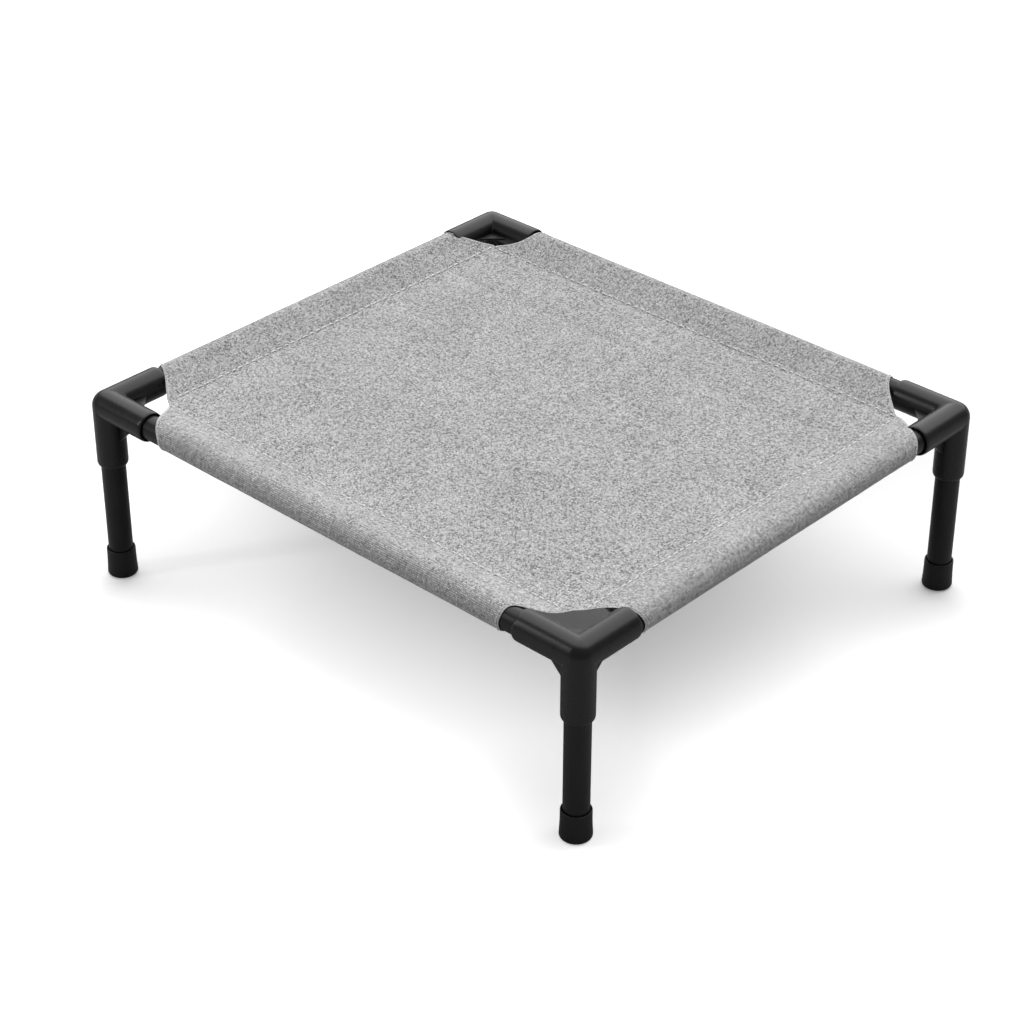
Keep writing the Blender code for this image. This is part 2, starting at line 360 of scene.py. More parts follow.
def powder_coat(name, tint, roughness, specular):
    """Black powder coat with a faint orange peel."""
    shader = Shader(name)
    place = shader.coordinates()
    peel = shader.noise(place, 700.0, 1.5, 0.5)
    clouds = shader.noise(place, 40.0, 2.0, 0.5)
    specks = shader.noise(place, 2600.0, 1.0, 0.5).ramp(0.62, 0.75)
    lighter = [part * 1.7 + 0.003 for part in tint]
    return shader.surface(
        base_color=shader.mix(specks * 0.6 + clouds.ramp(0.4, 0.8) * 0.4, tint, lighter),
        roughness=roughness + (clouds - 0.5) * 0.10,
        specular_level=specular,
        normal=shader.bump(peel, 0.08 * MM, 0.6))


def yarn_tone(shader, index, run, series):
    """One yarn's own shade, which changes along it with thick and thin stretches."""
    own = shader.random(shader.point(index + series, 0.5))
    slub = shader.noise(shader.point(index * 3.91 + series, run * 0.45), 1.0, 2.0, 0.6, "2D")
    return own * 0.22 + slub * 0.78


def yarn_crown(share_across, fullness):
    """Height across a yarn, whose width depends on how full it is there."""
    width = 0.40 + fullness * 0.22
    return (1.0 - ((share_across - 0.5) / width) ** 2.0).at_least(0.0)


def yarn_furrow(shader, share_across, index, series):
    """Painted shade in the gap beside a yarn, wide for some yarns and closed for others."""
    near = abs(share_across - 0.5).ramp(0.22, 0.5)
    return near * shader.random(shader.point(index + series, 3.5)).ramp(0.1, 0.9)


def plain_weave(shader, flat, pitch):
    """The upper yarn's tone, each crossing's own, the height there and the painted shade between the yarns.
    """
    x, y = shader.parts(flat)[:2]
    drift = (shader.noise(flat, 60.0, 2.0, 0.5, "2D") - 0.5) * 0.6
    across, along = x / pitch + drift, y / pitch + drift
    column, row = across.floor(), along.floor()
    over = (column + row).remainder(2.0)
    crossing = shader.random(shader.point(column + 0.5, row + 0.5))
    # The last number of each call picks its own series of random numbers
    warp = yarn_tone(shader, column, along, 11.3)
    weft = yarn_tone(shader, row, across, 47.9)
    warp_furrow = yarn_furrow(shader, across.fraction(), column, 5.7)
    weft_furrow = yarn_furrow(shader, along.fraction(), row, 77.1)
    warp_height = yarn_crown(across.fraction(), warp) * yarn_crown(along.fraction(), 0.75)
    weft_height = yarn_crown(along.fraction(), weft) * yarn_crown(across.fraction(), 0.75)
    height = over.mixed(warp_height, weft_height)
    return over.mixed(warp, weft), crossing, height, warp_furrow.at_least(weft_furrow)


def woven_cloth(cloth, shape):
    """Plain weave of heather grey yarns that vary along their length, in the flat cut's coordinates."""
    shader = Shader("heather_grey_weave")
    flat = shader.add("ShaderNodeUVMap", {"uv_map": "flat_cut"})
    drawn = shader.add("ShaderNodeAttribute", {"attribute_name": "stretch"}, output="Fac")
    from_cut = shader.add("ShaderNodeAttribute", {"attribute_name": "from_cut"}, output="Fac")
    x, y = shader.parts(flat)[:2]
    upper, crossing, height, furrows = plain_weave(shader, flat, cloth.pitch)

    # The tone of each crossing: its yarn's, its own, its fibres' and a cloudy one
    fibres = shader.noise(flat, 900.0, 1.0, 0.5, "2D")
    clouds = shader.noise(flat, 14.0, 2.0, 0.5, "2D").ramp(0.3, 0.7)
    tone = upper.ramp(0.30, 0.66)
    fleck = fibres.ramp(0.34, 0.66) ** 0.75
    shade = tone * 0.14 + crossing ** 0.7 * 0.44 + fleck * 0.38 + clouds * 0.04
    shade = (shade - 0.56) * drawn.mixed(cloth.contrast, cloth.drawn_contrast) + 0.54
    yarn = shader.mix(shade, tuple(cloth.dark_yarn), tuple(cloth.light_yarn))

    # Painted shade between the yarns, deeper in the open weave round the rails, where it darkens the
    # sleeves' rolled sides, and painted shade where the seams pull
    yarn_gap_shade = height.ramp(0.02, 0.45, 0.45, 1.0)
    drawn_shade = 1.0 + drawn * cloth.drawn_shade_strength * (0.26 - furrows)
    seam = abs(abs(x) - shape.half_x).at_most(abs(abs(y) - shape.half_y))
    shadow = yarn_gap_shade * drawn_shade * seam.ramp(0.8 * MM, 2.4 * MM, 0.93, 1.0)
    body = shader.mix(1.0, yarn, shader.point(shadow, shadow, shadow), "MULTIPLY")
    # Pale rim along the cut edges: loose fibres, and a painted highlight where the rolled edge catches
    # light
    fibres_and_edge_highlight = from_cut.ramp(0.6 * MM, 2.2 * MM, 0.85, 0.0) * fibres.ramp(0.25, 0.5)
    return shader.surface(
        base_color=shader.mix(fibres_and_edge_highlight, body, tuple(cloth.edge_fibres_and_highlight)),
        roughness=0.88,
        specular_level=0.12,
        sheen_weight=0.12,
        sheen_roughness=0.45,
        normal=shader.bump(height + fibres * 0.35, 0.22 * MM, 0.6))


def sewing_thread(cloth):
    """Pale, loosely spun thread that lies flat, so that it catches light like the cloth beside it."""
    shader = Shader("sewing_thread")
    place = shader.coordinates()
    flatness = 1.5
    fuzz = shader.noise(place, 2200.0, 2.0, 0.6)
    tint = tuple(cloth.thread_colour)
    darker = [part * 0.86 for part in tint]
    above = shader.parts(place)[2] - RAIL_Z
    up = shader.point(0.0, 0.0, above.maths("SIGN", above) * flatness)
    own = shader.add("ShaderNodeNewGeometry", output="Normal")
    leaning = shader.add("ShaderNodeVectorMath", {"operation": "ADD"}, {0: own, 1: up})
    return shader.surface(
        base_color=shader.mix(fuzz.ramp(0.3, 0.6), darker, tint),
        roughness=0.75,
        specular_level=0.1,
        normal=shader.add("ShaderNodeVectorMath", {"operation": "NORMALIZE"}, {0: leaning}))


def hem_thread(cloth):
    """Fuzzy light grey thread for the sleeves' ends."""
    shader = Shader("hem_thread")
    fuzz = shader.noise(shader.coordinates(), 1800.0, 2.0, 0.6)
    tint = tuple(cloth.hem_colour)
    darker = [part * 0.737 for part in tint]
    return shader.surface(
        base_color=shader.mix(fuzz.ramp(0.3, 0.7), darker, tint),
        roughness=0.8,
        specular_level=0.15,
        normal=shader.bump(fuzz, 0.05 * MM, 0.6))


def plain_floor(stage):
    """Matte floor, darker to the bed so that it lights it less; the camera sees painted light and shade on
    it: a glow that fades into a painted shadow under the bed, deeper beside the feet, and a painted dark
    spot under the middle.
    """
    shader = Shader("plain_floor")
    seen = shader.path("Is Camera Ray")
    x, y = shader.parts(shader.coordinates())[:2]
    sine, cosine = math.sin(stage.camera_azimuth), math.cos(stage.camera_azimuth)
    # Painted shadow: the camera-only glow is weakest at the core under the bed and grows outward
    aside = abs(x * cosine + y * sine - stage.core_place[0]) * stage.core_shape[0]
    ahead = abs(x * sine - y * cosine - stage.core_place[1]) * stage.core_shape[1]
    lift = (aside + ahead).ramp(stage.core_inner, stage.core_outer, 0.0, stage.painted_floor_glow)
    # Painted shadow beside each foot: less of the glow near the feet
    from_foot = ((abs(x) - HALF_X) ** 2.0 + (abs(y) - HALF_Y) ** 2.0) ** 0.5
    lift = lift * from_foot.ramp(0.0, stage.foot_reach, 1.0 - stage.painted_foot_shadow, 1.0)
    # Painted dark spot under the middle, with no glow, for the camera only
    from_painted_spot = ((x - stage.gap_place[0]) ** 2.0 + (y - stage.gap_place[1]) ** 2.0) ** 0.5
    clear = from_painted_spot.ramp(stage.gap_reach, stage.gap_reach + stage.gap_edge)
    lift = seen * lift * clear
    tint = tuple(stage.floor_colour)
    tint = shader.mix(clear, [part * stage.painted_gap_shade for part in tint], tint)
    dim = (stage.floor_bounce,) * 3
    return shader.surface(
        base_color=shader.mix(seen, dim, tint),
        roughness=0.95,
        specular_level=0.0,
        emission_color=shader.point(lift, lift, lift),
        emission_strength=1.0)


def surroundings(stage):
    """Even light with a pale backdrop behind the bed; the camera sees plain white."""
    shader = Shader("studio", world=True)
    x, y, z = shader.parts(shader.coordinates("Generated"))
    behind = -math.sin(stage.camera_azimuth), math.cos(stage.camera_azimuth)
    towards = (x * behind[0] + y * behind[1]) * 0.86 + z * 0.5
    strength = towards.ramp(0.15, 0.85, stage.sky, stage.sky + stage.backdrop)
    seen = shader.path("Is Camera Ray").at_least(shader.path("Is Transmission Ray"))
    light = shader.add(
        "ShaderNodeBackground",
        values={"Color": (1.0, 1.0, 1.0), "Strength": seen.mixed(strength, 1.0)})
    return shader.close(light, "ShaderNodeOutputWorld")


# Mesh code

SHARP_EDGE = math.radians(35)       # turned parts' edges above this angle stay sharp


def add_piece(name, data, look, slot, *nodes):
    """Puts a new piece into the scene, riding on the bed's one body, in place of its CAD nodes."""
    piece = bpy.data.objects.new(name, data)
    bpy.context.scene.collection.objects.link(piece)
    data.materials.append(look)
    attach(piece, "root")
    if nodes:
        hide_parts(*nodes)
    return piece


def mesh_from(name, points, faces, weld=None):
    """A smooth-shaded mesh with its normals outward and its sharp edges kept."""
    mesh = bpy.data.meshes.new(name)
    mesh.from_pydata([tuple(point) for point in points], [], faces)
    work = bmesh.new()
    work.from_mesh(mesh)
    if weld:
        bmesh.ops.remove_doubles(work, verts=work.verts, dist=weld)
    bmesh.ops.recalc_face_normals(work, faces=work.faces)
    work.to_mesh(mesh)
    work.free()
    mesh.shade_smooth()
    mesh.set_sharp_from_angle(angle=SHARP_EDGE)
    return mesh


def turned(name, profile, place=Matrix(), sides=64, closed=False):
    """Turns a profile of (radius, height) points about Z and puts the mesh in place."""
    points, rings = [], []
    for radius, height in profile:
        if radius < 1e-7:
            rings.append([len(points)] * sides)
            points.append(place @ Vector((0.0, 0.0, height)))
            continue
        rings.append(list(range(len(points), len(points) + sides)))
        for i in range(sides):
            angle = math.tau * i / sides
            points.append(place @ Vector((radius * math.cos(angle), radius * math.sin(angle), height)))
    pairs = list(zip(rings, rings[1:]))
    if closed:
        pairs.append((rings[-1], rings[0]))
    faces = []
    for lower, upper in pairs:
        for i in range(sides):
            j = (i + 1) % sides
            corners = dict.fromkeys((lower[i], lower[j], upper[j], upper[i]))
            if len(corners) > 2:
                faces.append(tuple(corners))
    return mesh_from(name, points, faces)


def quarter(centre, size, start, steps=5):
    """Points on a quarter of an ellipse, turning clockwise from the start angle in degrees."""
    points = []
    for i in range(steps + 1):
        angle = math.radians(start - 90.0 * i / steps)
        points.append((centre[0] + size[0] * math.cos(angle), centre[1] + size[1] * math.sin(angle)))
    return points


# Connectors

ARM_AXES = np.array([(1.0, 0.0, 0.0), (0.0, 1.0, 0.0), (0.0, 0.0, -1.0)])
COLUMNS = 18                 # mesh columns in each quarter of an arm
ARM_ROWS = 26                # mesh rows from the crease to the mouth
CROWDING = 1.6               # above 1, the rows lie closer together near the crease
WELD = 0.002 * MM            # points of neighbouring grids that lie this close become one
WEB_ROOT = 1.0 * MM          # how far a web's inner edges are sunk into the arms
WEB_ROUND = 0.5 * MM         # rounding of a web's edges
WEB_EDGE = math.radians(32)  # a connector's edges above this angle stay sharp


def corner_distance(points, crease):
    """Distance to the union of three round-ended arms, with soft creases where they meet."""
    reach = np.clip(points @ ARM_AXES.T, 0.0, None)
    offsets = points[:, None, :] - reach[:, :, None] * ARM_AXES[None]
    lengths = np.linalg.norm(offsets, axis=2)
    normals = offsets / np.maximum(lengths, 1e-9)[:, :, None]
    nearest = lengths.argmin(axis=1)
    rows = np.arange(len(points))
    closest = lengths[rows, nearest]
    fill = np.zeros(len(points))
    for arm in range(3):
        near = np.clip(crease - (lengths[:, arm] - closest), 0.0, None) ** 2 / (4 * crease)
        apart = 1.0 - np.einsum("ij,ij->i", normals[:, arm], normals[rows, nearest])
        fill += near * np.clip(apart, 0.0, 1.0) * (nearest != arm)
    return closest - SOCKET_RADIUS - fill


def settle(points, crease, steps=8, probe=1e-5):
    """Moves points onto the softly creased surface, down the slope of the distance to it."""
    probes = probe * np.eye(3)
    for step in range(steps):
        distance = corner_distance(points, crease)
        ahead = np.stack([corner_distance(points + aside, crease) for aside in probes], axis=1)
        behind = np.stack([corner_distance(points - aside, crease) for aside in probes], axis=1)
        slope = (ahead - behind) / (2 * probe)
        steepness = np.maximum((slope ** 2).sum(axis=1), 1e-6)
        points = points - (distance / steepness)[:, None] * slope
    return points


def mouth_profile(settings):
    """From the arm's outside over its mouth and down its bore to the tube's seat: (radius, reach)."""
    lip = SOCKET_RADIUS - settings.mouth_round
    bore = TUBE_RADIUS + FIT
    seat = TUBE_SEAT - FIT
    wide = lip - 0.35 * MM
    low = SOCKET_REACH - settings.recess_depth
    over_mouth = quarter(
        (lip, SOCKET_REACH - settings.mouth_taper), (settings.mouth_round, settings.mouth_taper), 90.0)
    return over_mouth[::-1] + [
        (wide + 0.12 * MM, SOCKET_REACH - 0.04 * MM), (wide, SOCKET_REACH - 0.25 * MM),
        (wide - 0.25 * MM, low), (bore + 0.1 * MM, low - 0.5 * MM), (bore, low - 1.0 * MM),
        (bore, seat), (0.0, seat)]


def add_arm(arm, profile, points, faces, outer):
    """An arm's grid, from its crease with the other arms, over its mouth and down to its seat."""
    ring = 4 * COLUMNS
    along, first, second = np.roll(ARM_AXES, -arm, axis=0)
    angles = [math.tau * column / ring for column in range(ring)]
    directions = [math.cos(angle) * first + math.sin(angle) * second for angle in angles]
    starts = [SOCKET_RADIUS * max(0.0, math.cos(angle), math.sin(angle)) for angle in angles]
    straight_end = profile[0][1]
    base = len(points)
    for row in range(ARM_ROWS + 1):
        share_along = (row / ARM_ROWS) ** CROWDING
        for direction, start in zip(directions, starts):
            reach = start + (straight_end - start) * share_along
            outer.append(len(points))
            points.append(SOCKET_RADIUS * direction + reach * along)
    for radius, reach in profile[1:]:
        for direction in directions:
            points.append(radius * direction + reach * along)
    for row in range(ARM_ROWS + len(profile) - 1):
        for column in range(ring):
            a = base + row * ring + column
            b = base + row * ring + (column + 1) % ring
            faces.append((a, b, b + ring, a + ring))


def add_ball(points, faces, outer):
    """The rounded outside of the corner, an eighth of a ball between the three arms."""
    index = {}
    for i in range(COLUMNS + 1):
        for j in range(COLUMNS + 1 - i):
            shares = np.array([i, j, COLUMNS - i - j]) * math.pi / (2 * COLUMNS)
            direction = -(np.sin(shares) @ ARM_AXES)
            index[i, j] = len(points)
            outer.append(len(points))
            points.append(SOCKET_RADIUS * direction / np.linalg.norm(direction))
    for i in range(COLUMNS):
        for j in range(COLUMNS - i):
            faces.append((index[i, j], index[i + 1, j], index[i, j + 1]))
            if i + j < COLUMNS - 1:
                faces.append((index[i + 1, j], index[i + 1, j + 1], index[i, j + 1]))


def connector_mesh(settings):
    """Corner with arms along +X, +Y and down, and its corner point at the origin."""
    points, faces, outer = [], [], []
    for arm in range(3):
        add_arm(arm, mouth_profile(settings), points, faces, outer)
    add_ball(points, faces, outer)
    points = np.array(points)
    points[outer] = settle(points[outer], settings.crease)
    return mesh_from("connector_body", points, faces, weld=WELD)


def web_mesh(settings):
    """The three triangular webs, one between each pair of arms, with softened edges."""
    root = SOCKET_RADIUS - WEB_ROOT
    tip = 2 * SOCKET_RADIUS + settings.web_reach - root
    half = settings.web_thickness / 2
    work = bmesh.new()
    for arm in range(3):
        first, second, across = np.roll(ARM_AXES, -arm, axis=0)
        sides = []
        for level in (-half, half):
            sides.append([
                work.verts.new(u * first + v * second + level * across)
                for u, v in ((root, root), (tip, root), (root, tip))])
        work.faces.new(sides[0])
        work.faces.new(sides[1])
        for i in range(3):
            j = (i + 1) % 3
            work.faces.new((sides[0][i], sides[0][j], sides[1][j], sides[1][i]))
    bmesh.ops.bevel(
        work, geom=list(work.edges), offset=WEB_ROUND, offset_type="OFFSET", segments=2, profile=0.5,
        affect="EDGES")
    bmesh.ops.recalc_face_normals(work, faces=work.faces)
    mesh = bpy.data.meshes.new("webs")
    work.to_mesh(mesh)
    work.free()
    return mesh


def joined_connector(settings):
    """The connector's body and webs as one closed mesh."""
    body = bpy.data.objects.new("connector_body", connector_mesh(settings))
    webs = bpy.data.objects.new("connector_webs", web_mesh(settings))
    for helper in (body, webs):
        bpy.context.scene.collection.objects.link(helper)
    join = body.modifiers.new("webs", "BOOLEAN")
    join.operation = "UNION"
    join.solver = "EXACT"
    join.object = webs
    bpy.context.view_layer.update()
    finished = body.evaluated_get(bpy.context.evaluated_depsgraph_get())
    mesh = bpy.data.meshes.new_from_object(finished)
    for helper in (body, webs):
        bpy.data.objects.remove(helper, do_unlink=True)
    mesh.materials.clear()
    mesh.shade_smooth()
    mesh.set_sharp_from_angle(angle=WEB_EDGE)
    return mesh


class PETBED_OT_connectors(bpy.types.Operator):
    """Build the four three-way corner connectors"""
    bl_idname = "petbed.connectors"
    bl_label = "Connectors"
    bl_options = {"REGISTER", "UNDO"}

    def execute(self, context):
        settings = context.scene.petbed_frame
        look = moulded_plastic(
            "satin_moulded_plastic", tuple(settings.plastic_colour), settings.plastic_roughness,
            settings.plastic_specular)
        pattern = joined_connector(settings)
        for turn, corner in enumerate(CORNERS):
            x_sign, y_sign = CORNER_SIGNS[corner]
            place = Matrix.Translation((x_sign * HALF_X, y_sign * HALF_Y, RAIL_Z))
            mesh = pattern.copy()
            mesh.transform(place @ Matrix.Rotation(math.radians(90 * turn), 4, "Z"))
            add_piece(corner + "_corner", mesh, look, "connector_plastic", corner + "_connector")
        return {"FINISHED"}


# Tubes and foot caps

RAILS = {"front": (0, -1), "rear": (0, 1), "left": (-1, 0), "right": (1, 0)}
CUT_EDGE = 0.3 * MM          # broken edge at a tube's cut ends
CAP_DRAFT = 0.8 * MM         # how much narrower a foot cap is at its rim than at its foot
CAP_LIP = 1.0 * MM           # rounding of a foot cap's rim, inward
CAP_LIP_FALL = 1.4 * MM      # and downward
CAP_ROUND = 3.5 * MM         # rounding round a foot cap's underside
CAP_DIMPLE = 8.0 * MM        # radius of the shallow hollow in its underside
CAP_HOLLOW = 0.5 * MM        # depth of that hollow


def tube_profile(span, wall):
    """Section of a tube's wall, with its cut ends broken."""
    inside = TUBE_RADIUS - wall
    half = span / 2
    end = half - CUT_EDGE
    return [
        (inside, -end), (inside + CUT_EDGE, -half), (TUBE_RADIUS - CUT_EDGE, -half), (TUBE_RADIUS, -end),
        (TUBE_RADIUS, end), (TUBE_RADIUS - CUT_EDGE, half), (inside + CUT_EDGE, half), (inside, end)]


class PETBED_OT_tubes(bpy.types.Operator):
    """Build the four rails and the four legs"""
    bl_idname = "petbed.tubes"
    bl_label = "Rails and legs"
    bl_options = {"REGISTER", "UNDO"}

    def execute(self, context):
        settings = context.scene.petbed_frame
        look = powder_coat(
            "black_powder_coat", tuple(settings.steel_colour), settings.steel_roughness,
            settings.steel_specular)
        for side, (x_sign, y_sign) in RAILS.items():
            half = HALF_X if y_sign else HALF_Y
            lay = Matrix.Rotation(math.radians(90), 4, "Y" if y_sign else "X")
            place = Matrix.Translation((x_sign * HALF_X, y_sign * HALF_Y, RAIL_Z)) @ lay
            profile = tube_profile(2 * (half - TUBE_SEAT), settings.tube_wall)
            mesh = turned(side + "_tube", profile, place, closed=True)
            add_piece(side + "_tube", mesh, look, "tube_steel", side + "_rail")
        for corner in CORNERS:
            x_sign, y_sign = CORNER_SIGNS[corner]
            place = Matrix.Translation((x_sign * HALF_X, y_sign * HALF_Y, (LEG_TOP + LEG_FOOT) / 2))
            profile = tube_profile(LEG_TOP - LEG_FOOT, settings.tube_wall)
            mesh = turned(corner + "_leg_tube", profile, place, closed=True)
            add_piece(corner + "_leg_tube", mesh, look, "tube_steel", corner + "_leg")
        return {"FINISHED"}


def cap_profile():
    """From the middle of the cap's inside floor, over its rim, to the middle of its underside."""
    bore = TUBE_RADIUS + FIT
    rim = CAP_RADIUS - CAP_DRAFT
    lip = rim - CAP_LIP
    floor_inside = LEG_FOOT - FIT
    inside = [
        (0.0, floor_inside), (bore, floor_inside), (bore, CAP_HEIGHT - 4.0 * MM),
        (bore + 0.15 * MM, CAP_HEIGHT - 3.2 * MM), (lip - 0.45 * MM, CAP_HEIGHT - 1.6 * MM),
        (lip - 0.3 * MM, CAP_HEIGHT - 0.3 * MM), (lip - 0.12 * MM, CAP_HEIGHT - 0.05 * MM)]
    over_rim = quarter((lip, CAP_HEIGHT - CAP_LIP_FALL), (CAP_LIP, CAP_LIP_FALL), 90.0)
    outside = [
        (rim + 0.03 * MM, CAP_HEIGHT * 0.72), (rim + 0.2 * MM, CAP_HEIGHT * 0.5),
        (rim + 0.55 * MM, CAP_HEIGHT * 0.25)]
    foot = quarter((CAP_RADIUS - CAP_ROUND, CAP_ROUND), (CAP_ROUND, CAP_ROUND), 0.0, 8)
    underside = [(CAP_DIMPLE, 0.0), (CAP_DIMPLE - 0.4 * MM, CAP_HOLLOW), (0.0, CAP_HOLLOW)]
    return inside + over_rim + outside + foot + underside


class PETBED_OT_foot_caps(bpy.types.Operator):
    """Build the four foot caps"""
    bl_idname = "petbed.foot_caps"
    bl_label = "Foot caps"
    bl_options = {"REGISTER", "UNDO"}

    def execute(self, context):
        settings = context.scene.petbed_frame
        look = moulded_plastic(
            "matte_cap_plastic", tuple(settings.cap_colour), settings.cap_roughness,
            settings.cap_specular)
        for corner in CORNERS:
            x_sign, y_sign = CORNER_SIGNS[corner]
            place = Matrix.Translation((x_sign * HALF_X, y_sign * HALF_Y, 0.0))
            mesh = turned(corner + "_foot", cap_profile(), place)
            add_piece(corner + "_foot", mesh, look, "cap_rubber", corner + "_foot_cap")
        return {"FINISHED"}


# Sling

# Where each sleeve end is cut, from the corner point along the rail, at these distances from its seam
CUT_KNOTS = np.array([0, 12, 24, 36, 61]) * MM
CUTS = {
    "front": (np.array([46, 55, 63, 71.5, 90]) * MM, np.array([50, 51, 56, 74, 82]) * MM),
    "right": (np.array([54, 61, 64, 64, 71]) * MM, np.array([36, 45, 55, 66, 80]) * MM),
    "rear": (np.array([41, 53, 65.5, 75, 84]) * MM, np.array([35, 53.5, 63, 67, 74]) * MM),
    "left": (np.array([33, 45, 53.5, 61.5, 69]) * MM, np.array([43, 51, 60, 67.5, 78]) * MM),
}
# The innermost point of the cut at each corner, from the corner point along X and along Y
NOTCHES = {
    "front_left": (43.5 * MM, 41.5 * MM), "front_right": (46.5 * MM, 45.5 * MM),
    "rear_right": (40 * MM, 38 * MM), "rear_left": (40.5 * MM, 35 * MM),
}
# The sleeves that meet at each corner: along X with its end, along Y with its end
SEAMS_AT = {
    "front_left": ("front", 0, "left", 1), "front_right": ("front", 1, "right", 0),
    "rear_right": ("rear", 0, "right", 1), "rear_left": ("rear", 1, "left", 0),
}
ZONE = 24 * MM               # band inside each seam's ends where the mesh lines follow the cuts
LEAST_CUT = 1.5 * MM         # a smaller cut beyond the corner of the seams takes no cells away
FIRST_CELL = 4 * MM          # width of the first mesh lines there
SLOPE_ROWS = np.array([0, 2.5, 6, 11, 17, 23, 29, 33.5]) * MM
WRAP_CELLS = 18              # mesh cells round the rail
LAP_CELLS = 6                # mesh cells from the rail back to the seam
LAP_GAP = 0.1 * MM           # air between the panel and the lap under it
FULL_STRETCH = math.radians(45)     # turn round the rail over which the weave opens

# The panel's and the sleeves' small unevenness
PUCKER_HEIGHT = 0.68 * MM    # of the short waves along the seams
PUCKER_RUN = 5.5 * MM        # length of seam in which their wave turns by a radian
PUCKER_REACH = 14 * MM       # how far from the seam they have shrunk to a third
PUCKER_RISE = 3 * MM         # how far from the seam they are at their highest
PUCKER_LIMIT = 40 * MM       # how far from the seam they end
FOLD_HEIGHT = 0.75 * MM      # of the folds that fan out from the corners
FOLD_WAVES = 9.0             # radians of their wave in a radian round the corner
FOLD_REACH = 70 * MM         # how far from the corner they have shrunk to a third
FOLD_START = 14 * MM         # how far from the corner they begin
FOLD_RISE = 30 * MM          # and how much further they have risen
FOLD_LIMIT = 250 * MM        # how far from the corner they end
PANEL_UNEVEN = 0.25 * MM     # of the panel as a whole
SLEEVE_ROUGH = 0.22 * MM     # of the sleeves' long waves
SLEEVE_FINE = 0.10 * MM      # of the sleeves' short waves
SLEEVE_RISE = 8 * MM         # how far from the seam they begin in full


class SlingShape:
    """How the flat cut of the cloth lies: a panel, and a flap that folds round the rail on each side."""

    def __init__(self, cloth):
        self.inset = cloth.seam_inset
        self.hem = cloth.hem
        self.sag = cloth.sag
        self.thickness = cloth.thickness
        self.radius = TUBE_RADIUS + cloth.ease + cloth.thickness / 2
        self.drop = cloth.thickness + LAP_GAP
        self.first = math.acos(self.radius / self.inset)
        below = math.hypot(self.inset, self.drop)
        self.last = math.tau - math.atan2(self.drop, self.inset) - math.acos(self.radius / below)
        self.slope = math.sqrt(self.inset ** 2 - self.radius ** 2)
        self.under_slope = math.sqrt(below ** 2 - self.radius ** 2)
        self.wrap = self.radius * (self.last - self.first)
        self.closed = self.slope + self.wrap + self.under_slope
        self.total = self.closed + self.hem
        self.half_x = HALF_X - self.inset
        self.half_y = HALF_Y - self.inset

    def rows(self):
        """Distances from the seam, along the cloth, of a flap's mesh lines."""
        found = list(SLOPE_ROWS)
        found += [self.slope + self.wrap * i / WRAP_CELLS for i in range(WRAP_CELLS + 1)]
        under = self.slope + self.wrap
        found += [under + self.under_slope * i / LAP_CELLS for i in range(1, LAP_CELLS + 1)]
        return found + [self.closed + self.hem / 2, self.total]

    def stretch(self, out):
        """How far the cloth is drawn open, from 0 on the panel to 1 round the rail's outer side; the
        cloth's material paints shade by it.
        """
        turned_by = (out - self.slope) / self.radius
        rise = min(1.0, max(0.0, turned_by / FULL_STRETCH))
        fall = min(1.0, max(0.0, (self.closed - out) / self.under_slope))
        return rise * fall

    def fold(self, out):
        """Place and outward direction, as (inward, up), of the cloth at a distance from the seam."""
        first_up = (math.cos(self.first), math.sin(self.first))
        if out < self.slope:
            left = out / self.slope
            place = (
                self.inset + (self.radius * first_up[0] - self.inset) * left,
                self.radius * first_up[1] * left)
            return place, first_up
        if out < self.slope + self.wrap:
            angle = self.first + (out - self.slope) / self.radius
            outward = (math.cos(angle), math.sin(angle))
            return (self.radius * outward[0], self.radius * outward[1]), outward
        outward = (math.cos(self.last), math.sin(self.last))
        if out < self.closed:
            left = (out - self.slope - self.wrap) / self.under_slope
            start = (self.radius * outward[0], self.radius * outward[1])
            return (
                start[0] + (self.inset - start[0]) * left,
                start[1] + (-self.drop - start[1]) * left), outward
        return (self.inset + out - self.closed, -self.drop), (0.0, -1.0)

    def cut(self, side, end, out):
        """Where a sleeve's end is cut, along the rail, at a distance from its seam."""
        return eased(CUT_KNOTS, CUTS[side][end], out)


def eased(knots, values, at):
    """A smooth curve through the values at the knots, level beyond the last of them."""
    at = min(max(at, knots[0]), knots[-1])
    slopes = np.gradient(values, knots)
    i = min(max(int(np.searchsorted(knots, at)) - 1, 0), len(knots) - 2)
    span = knots[i + 1] - knots[i]
    t = (at - knots[i]) / span
    return (
        values[i] * (1 + 2 * t) * (1 - t) ** 2 + slopes[i] * span * t * (1 - t) ** 2
        + values[i + 1] * t * t * (3 - 2 * t) - slopes[i + 1] * span * t * t * (1 - t))


def half_length(side):
    """Half the distance between the corner points at the two ends of one side."""
    return HALF_X if side in ("front", "rear") else HALF_Y


def side_frame(side):
    """Middle of one side's rail, the direction along it and the direction inward."""
    turn = SIDES.index(side) * math.pi / 2
    along = Vector((round(math.cos(turn)), round(math.sin(turn)), 0.0))
    inward = Vector((-along.y, along.x, 0.0))
    distance = HALF_Y if side in ("front", "rear") else HALF_X
    return Vector((0.0, 0.0, RAIL_Z)) - inward * distance, along, inward


def zone_lines(cut, inset):
    """Offsets of the mesh lines at one end of one seam, and how many cells are cut away there."""
    whole = cut - inset < LEAST_CUT
    step = FIRST_CELL if whole else cut - inset
    rest = ZONE - step
    return [0.0, step / 2, step, step + rest * 0.42, ZONE], 0 if whole else 2


